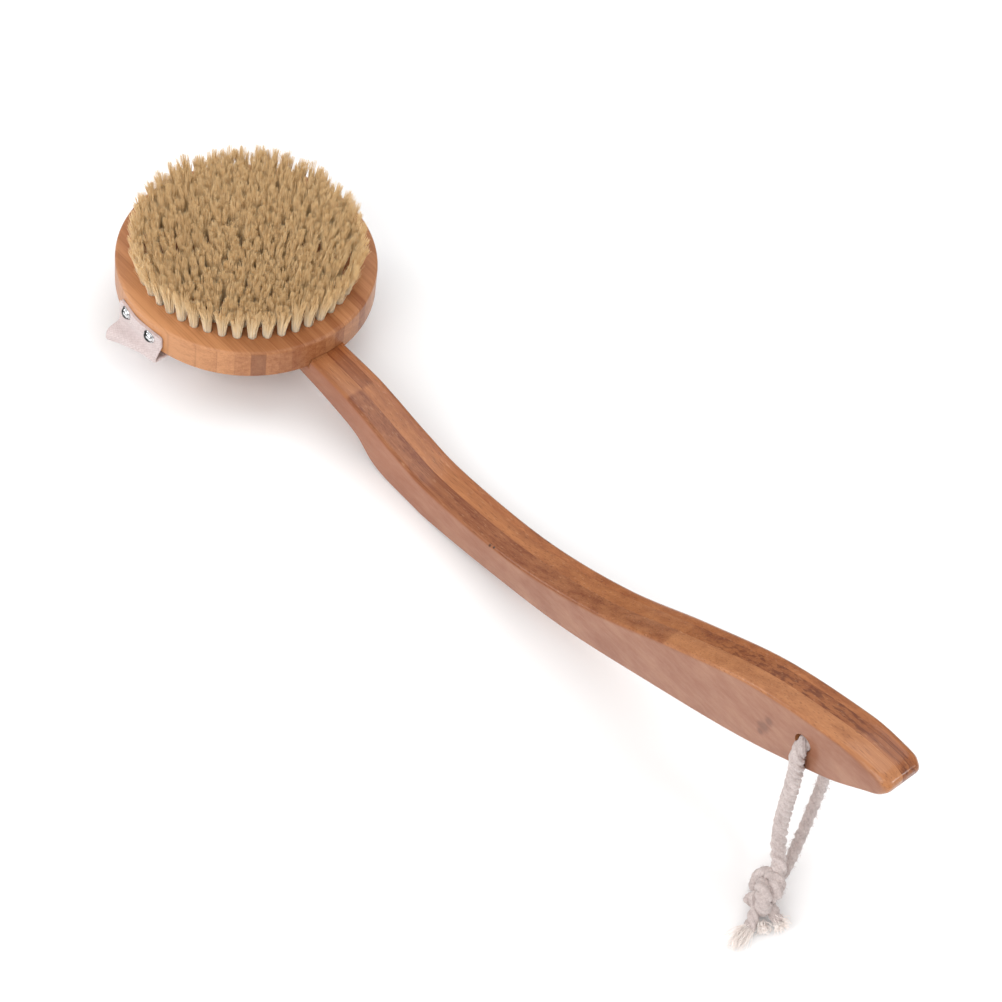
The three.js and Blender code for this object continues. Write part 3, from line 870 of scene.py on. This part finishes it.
def strap_lines(columns, rounding):
    """The strap's middle surface: one smooth line in (X, Y, Z) for each place across it."""
    lines = []
    for x in columns:
        seat = math.sqrt(STRAP_SEAT**2 - x * x)
        share = (x - STRAP_X) / STRAP_WIDTH + 0.5
        inward = min(rounding, max(0, STRAP_WIDTH / 2 - abs(x - STRAP_X)))
        drop = rounding - math.sqrt(rounding**2 - (rounding - inward) ** 2)
        top = STRAP_TOP_LEFT + STRAP_TOP_RISE * share - drop
        near = [(-seat, top), (-seat, -7.6), (-seat - 0.1, -9.8)]
        folds = zip(LEFT_FOLD, RIGHT_FOLD)
        near += [(a[0] + (b[0] - a[0]) * share, a[1] + (b[1] - a[1]) * share) for a, b in folds]
        far = list(reversed(FAR_FOLD)) + [(seat + 0.1, -10.6), (seat, -7.2), (seat, -4.5)]
        line = smooth_curve(near + STRAP_MIDDLE + far, 300)
        lines.append(np.column_stack([np.full(len(line), x), line]))
    return np.array(lines)


def make_strap():
    """The strap as one closed band with round edges, gently rippled."""
    edge = STRAP_THICKNESS / 2
    half = STRAP_WIDTH / 2
    inner = np.linspace(-half + edge, half - edge, 25)
    columns = np.r_[-half, -half + edge * 0.13, -half + edge * 0.5, inner]
    columns = np.r_[columns, half - edge * 0.5, half - edge * 0.13, half]
    swell = np.sqrt(np.clip(1 - (1 - np.clip((half - np.abs(columns)) / edge, 0, 1)) ** 2, 0, 1))
    square = strap_lines(columns + STRAP_X, 0)
    normal = unit(np.cross(np.gradient(square, axis=0), np.gradient(square, axis=1)))
    middle = strap_lines(columns + STRAP_X, STRAP_CORNER)
    ripple = 0.12 * np.sin(middle[..., :1] * 0.5 + middle[..., 1:2] * 0.13)
    middle = middle + normal * ripple
    thick = normal * (edge * swell)[:, None, None]
    over = (middle + thick).transpose(1, 0, 2)
    under = (middle - thick).transpose(1, 0, 2)[:, -2:0:-1]
    rings = np.concatenate([over, under], axis=1)
    sides = rings.shape[1]
    faces = ring_faces(len(rings), sides)
    strap = mesh_piece("strap_canvas", rings.reshape(-1, 3), faces, CANVAS, 50)
    width_mm = np.r_[columns, columns[-2:0:-1]]
    centre_line = middle[len(columns) // 2]
    length = line_length(centre_line)
    length_mm = np.linspace(0, length, len(rings))
    weave = strap.data.uv_layers.new(name="weave")
    corners = np.array([loop.vertex_index for loop in strap.data.loops])
    values = np.column_stack([width_mm[corners % sides], length_mm[corners // sides]])
    weave.data.foreach_set("uv", values.ravel())
    belongs(strap, "head", "strap_canvas", "hand_strap")


make_strap()


def make_tacks():
    """Domed tacks, each a rounded cap on a thin rolled seat, with its shank in the wood."""
    seat = STRAP_SEAT + STRAP_THICKNESS / 2
    profile = [(SHANK_RADIUS, -SHANK_LENGTH), (SHANK_RADIUS, 0.02), (TACK_RADIUS - 0.15, 0.02)]
    profile += [(TACK_RADIUS, 0.2), (TACK_RADIUS - 0.1, 0.42), (TACK_RADIUS - 0.35, 0.5)]
    profile += [(TACK_RADIUS - 0.5, 0.46)]
    for angle in np.linspace(0.02, 1.52, 12):
        profile.append((DOME_RADIUS * math.cos(angle), 0.45 + DOME_HEIGHT * math.sin(angle)))
    faces = ring_faces(len(profile), TACK_SIDES)
    places = [(x, side) for side in (-1, 1) for x in TACK_XS]
    for number, (x, side) in enumerate(places, start=1):
        points, out = rimward(lathe_points(profile, TACK_SIDES), x, side, seat)
        points = points + out * seat + [0, 0, TACK_Z]
        tack = mesh_piece(f"tack_{number}", points, faces, CHROME, 40)
        belongs(tack, "head", "tack_chrome", f"strap_tack_{number}")


make_tacks()


# --- Bristles ----------------------------------------------------------------------------------


def disc_points(count, radius):
    """Random places spread evenly over a disc."""
    angle = RANDOM.uniform(0, 2 * np.pi, count)
    reach = radius * np.sqrt(RANDOM.uniform(0, 1, count))
    return np.stack([reach * np.cos(angle), reach * np.sin(angle)], axis=1)


def tuft_hairs(place):
    """Roots and tips of one tuft, whose hairs gather into a few uneven clumps."""
    root = disc_points(TUFT_HAIRS, 1.0)
    clumps = disc_points(TUFT_CLUMPS, TUFT_TIP_RADIUS * 0.8)
    clump_heights = RANDOM.normal(0, 0.8, TUFT_CLUMPS)
    flared = root * TUFT_TIP_RADIUS
    nearest = np.linalg.norm(flared[:, None] - clumps[None], axis=2).argmin(1)
    pull = RANDOM.uniform(0.1, 0.6, TUFT_HAIRS)[:, None]
    tip = flared * (1 - pull) + clumps[nearest] * pull + RANDOM.normal(0, 0.18, (TUFT_HAIRS, 2))
    lean = RANDOM.normal(0, 0.45, 2)
    heights = TIP_HEIGHT + RANDOM.normal(0, 0.45) + clump_heights[nearest]
    heights = heights - RANDOM.exponential(0.9, TUFT_HAIRS)
    roots = np.column_stack([place + root * TUFT_ROOT_RADIUS, np.full(TUFT_HAIRS, TUFT_ROOT_Z)])
    tips = np.column_stack([place * TIP_SPLAY + tip + lean, heights])
    return roots, tips


def make_bristles():
    """One piece for each ring; every hair has its own tone, held in the attribute own."""
    radii = (HAIR_RADIUS, HAIR_RADIUS * 0.4)
    for number, radius in enumerate(RING_RADII, start=1):
        roots, tips = all_hairs([tuft_hairs(place) for place in tuft_places(radius)])
        bow = RANDOM.normal(0, 0.2, roots.shape)
        points, faces = hair_mesh(roots, tips, radii, HAIR_STEPS, 1.9, bow)
        piece = mesh_piece(f"bristle_tufts_{number}", points, faces, BRISTLE, 80)
        own = piece.data.attributes.new("own", "FLOAT", "POINT")
        tones = RANDOM.uniform(0, 1, len(roots))
        own.data.foreach_set("value", np.repeat(tones, len(points) // len(roots)))
        belongs(piece, "head", "bristle", f"bristle_ring_{number}")


make_bristles()


# --- Handle ------------------------------------------------------------------------------------


def handle_curves():
    """The handle's underside and top as (X, Z) lines from the head to the tip."""
    under = [(x, NECK_BOTTOM_Z) for x in (TONGUE_END_X, 20, 44)]
    under += [(66, -23.4), (82, -26.4), (92, -32.6), (101, -34.8), (112, REST_Z), (126, -34.8)]
    under += [(159, -30.2), (204, -21.1), (251, -5.2), (295, 11.6), (331, 30), (348, 41.2)]
    under += [(354.6, 46), (HANDLE_TIP_X, 50.4)]
    top = [(x, NECK_TOP_Z) for x in (TONGUE_END_X, 30, 69)]
    top += [(84, -12), (104, -15.6), (128, -17.6), (174, -11.6), (217, 3.2), (256, 24.2)]
    top += [(293, 42.4), (330, 53), (348, 54.9), (355.2, 53.6), (HANDLE_TIP_X, 50.6)]
    under = smooth_curve(under, 600)
    under[:, 1] = np.maximum(under[:, 1], REST_Z)
    return under, smooth_curve(top, 600)


def half_width(x):
    """Half the handle's width: narrower at the neck, and rounded off at the tip."""
    half = np.interp(x, [60, 125], [NECK_WIDTH / 2, HANDLE_WIDTH / 2])
    near_tip = np.clip((x - (HANDLE_TIP_X - TIP_TAPER)) / TIP_TAPER, 0, 1)
    return half - TIP_NARROWING * (1 - np.sqrt(1 - near_tip**2))


def slat_section(x, low_z, high_z, low_y, high_y):
    """One slat's closed section, rounded on the handle's outer edges."""
    half = half_width(x)
    softer = np.clip((x - (HANDLE_TIP_X - 22)) / 20, 0, 1)
    rounding = min(HANDLE_ROUNDING + 1.5 * softer, (high_z - low_z) * 0.45)
    points = []
    corners = [(-1, -1, 180), (1, -1, 270), (1, 1, 0), (-1, 1, 90)]
    for side, rise, start in corners:
        edge = (low_y, high_y)[side > 0]
        outer = abs(edge) > 7
        y = side * half if outer else edge
        z = low_z if rise < 0 else high_z
        r = rounding if outer else 0.02
        for angle in np.radians(np.linspace(start, start + 90, 7)):
            points.append((y - side * r + r * math.cos(angle), z - rise * r + r * math.sin(angle)))
    return points


def slat_solid(low_y, high_y):
    """One slat from the tongue's end to the tip, stepping up where it leaves the round head."""
    under, top = handle_curves()
    tongue = np.linspace(TONGUE_END_X, SHOULDER_RADIUS, 20)
    body = np.linspace(SHOULDER_RADIUS, HANDLE_TIP_X - TIP_LENGTH, 150)
    tip = HANDLE_TIP_X - TIP_LENGTH * np.cos(np.linspace(0, 1.53, 24))[1:]
    stations = [(x, TONGUE_TOP_Z) for x in tongue]
    stations += [(x, np.interp(x, top[:, 0], top[:, 1])) for x in np.r_[body, tip]]
    points = []
    for x, high_z in stations:
        low_z = np.interp(x, under[:, 0], under[:, 1])
        on_shoulder = abs(x - SHOULDER_RADIUS) < 1e-6
        section = slat_section(x, low_z, high_z, low_y, high_y)
        points += [(math.sqrt(x * x - y * y) if on_shoulder else x, y, z) for y, z in section]
    return points, ring_faces(len(stations), len(section))


def rope_hole():
    """The cutter of the hole across the handle, flared at both mouths."""
    profile = [(HOLE_FLARE, -15), (HOLE_RADIUS, -8.6), (HOLE_RADIUS, 8.6), (HOLE_FLARE, 15)]
    points = lathe_points(profile, 40)
    points = np.stack([HOLE_X + points[:, 0], points[:, 2], HOLE_Z - points[:, 1]], axis=1)
    return points, ring_faces(len(profile), 40)


def dovetail_key(low_y, high_y):
    """One slat's share of the dovetail on top of the tongue."""
    top = GROOVE_DEPTH - HEAD_THICKNESS - GAP
    neck = (max(low_y, -DOVETAIL_NECK / 2), min(high_y, DOVETAIL_NECK / 2))
    wide = (max(low_y, -DOVETAIL_WIDE / 2), min(high_y, DOVETAIL_WIDE / 2))
    section = [(neck[0], TONGUE_TOP_Z), (neck[1], TONGUE_TOP_Z), (wide[1], top), (wide[0], top)]
    return prism(section, TONGUE_END_X, SHOULDER_RADIUS + 0.5)


def make_slat(name, material, low_y, high_y):
    slat = mesh_piece(f"slat_{name}", *slat_solid(low_y, high_y), material)
    cut(slat, mesh_piece("hole_cutter", *rope_hole(), material), 32)
    key = mesh_piece(f"slat_{name}_key", *dovetail_key(low_y, high_y), material)
    belongs(key, "handle", "handle_bamboo")
    belongs(slat, "handle", "handle_bamboo", f"handle_slat_{name}")


make_slat("near", NEAR_BAMBOO, -HANDLE_WIDTH / 2, SLAT_LINES[0])
make_slat("middle", MIDDLE_BAMBOO, *SLAT_LINES)
make_slat("far", FAR_BAMBOO, SLAT_LINES[1], HANDLE_WIDTH / 2)


# --- Floor and lights --------------------------------------------------------------------------


def make_floor():
    """A pale floor, 6 m each way."""
    half = 3
    corners = [(-half, -half, 0), (half, -half, 0), (half, half, 0), (-half, half, 0)]
    mesh = bpy.data.meshes.new("floor")
    mesh.from_pydata(corners, [], [(0, 1, 2, 3)])
    s = Surface("floor", Roughness=0.9, Specular_IOR_Level=0.1, Base_Color=(0.97, 0.97, 0.97, 1))
    mesh.materials.append(s.material)
    floor = bpy.data.objects.new("floor", mesh)
    bpy.context.scene.collection.objects.link(floor)


def softbox(name, place, aim, size, watts):
    """A round white area light at a place, facing its aim, in metres."""
    light = bpy.data.lights.new(name, "AREA")
    light.shape = "DISK"
    light.size = size
    light.energy = watts
    lamp = bpy.data.objects.new(name, light)
    lamp.location = place
    lamp.rotation_mode = "QUATERNION"
    lamp.rotation_quaternion = (Vector(aim) - Vector(place)).to_track_quat("-Z", "Y")
    bpy.context.scene.collection.objects.link(lamp)


def make_lights():
    """Four soft lights, under a world that is bright above and dark near the horizon."""
    softbox("key_light", (-0.3, 0.6, 1.6), (0, 0, 0), 1.2, 5.5)
    softbox("front_light", (0.4, -1.6, 1.1), (0, 0, 0), 1.8, 22)
    softbox("left_light", (-1.3, -0.7, 0.8), (-0.1, 0, 0), 0.8, 4)
    softbox("end_light", (1.4, 0.7, 0.72), (0.2, 0, 0.08), 0.4, 5)
    world = bpy.data.worlds.new("studio")
    bpy.context.scene.world = world
    world.use_nodes = True
    nodes = world.node_tree.nodes
    links = world.node_tree.links
    where = nodes.new("ShaderNodeTexCoord")
    split = nodes.new("ShaderNodeSeparateXYZ")
    links.new(where.outputs["Generated"], split.inputs[0])
    height = nodes.new("ShaderNodeMapRange")
    height.interpolation_type = "SMOOTHSTEP"
    height.inputs["From Min"].default_value = 0.1
    height.inputs["From Max"].default_value = 0.55
    height.inputs["To Min"].default_value = 0.04
    height.inputs["To Max"].default_value = 0.85
    links.new(split.outputs["Z"], height.inputs["Value"])
    links.new(height.outputs[0], nodes["Background"].inputs["Strength"])
    nodes["Background"].inputs["Color"].default_value = (1, 1, 1, 1)
    bpy.context.scene.view_settings.view_transform = "Standard"


make_floor()
make_lights()
